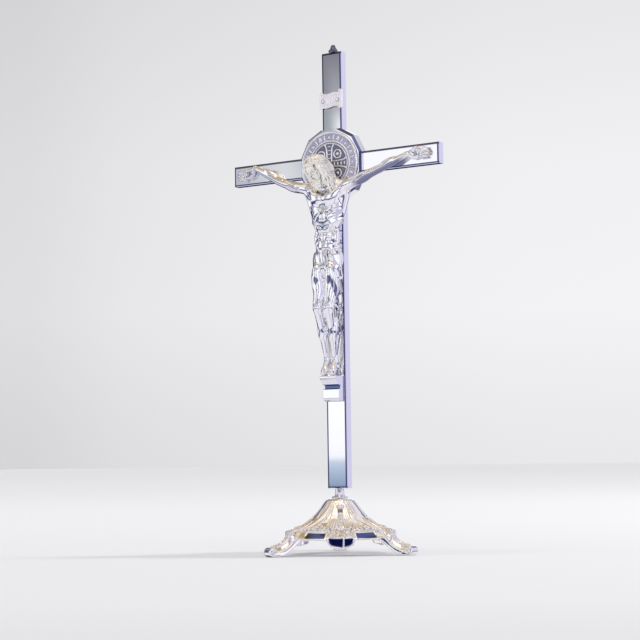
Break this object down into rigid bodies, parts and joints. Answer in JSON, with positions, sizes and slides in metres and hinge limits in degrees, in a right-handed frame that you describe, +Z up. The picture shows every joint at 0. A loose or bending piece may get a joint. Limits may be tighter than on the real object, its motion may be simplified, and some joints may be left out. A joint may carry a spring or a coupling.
{
  "type": "altar crucifix",
  "caption": "Standing altar crucifix: flat bevelled cross with a round medal, cast figure and footrest, turning on a short stem above a scalloped three-legged base.",
  "frame": {"origin": "on the floor, at the centre of the bounding box's bottom face; the stem's turning axis is 1.3 mm behind it (+Y)", "axes": "+Z up along the upright, +X along the cross bar to the viewer's right, -Y out of the front of the cross"},
  "size_m": [0.124, 0.0766, 0.2566],
  "materials": {
    "cross_plate": "polished bright plate",
    "cast_plate": "bright plate over a fine casting",
    "base_plate": "bright plate over an ornamental casting",
    "steel": "zinc-plated"
  },
  "bodies": {
    "stand": {"base_casting": "base_plate", "base_washer": "steel", "base_nut": "steel", "stem_stud": "steel", "stem_collar": "cross_plate"},
    "cross": {"upright_bar": "cross_plate", "cross_bar": "cross_plate", "hub_boss": "cross_plate", "medal_disc": "cast_plate", "titulus_scroll": "cast_plate", "top_finial": "cross_plate", "footrest_bracket": "cross_plate", "corpus": "cast_plate", "corpus_screw": "steel", "footrest_screw": "steel", "hub_screw_lower": "steel", "hub_screw_upper": "steel", "hand_nail_left": "steel", "hand_nail_right": "steel", "titulus_pin_left": "steel", "titulus_pin_right": "steel"}
  },
  "joints": [
    {"name": "cross_turn", "type": "hinge", "parent": "stand", "child": "cross", "pos_m": [0, 0.0013, 0.036], "axis": [0, 0, 1], "range_deg": [-180, 180]}
  ]
}
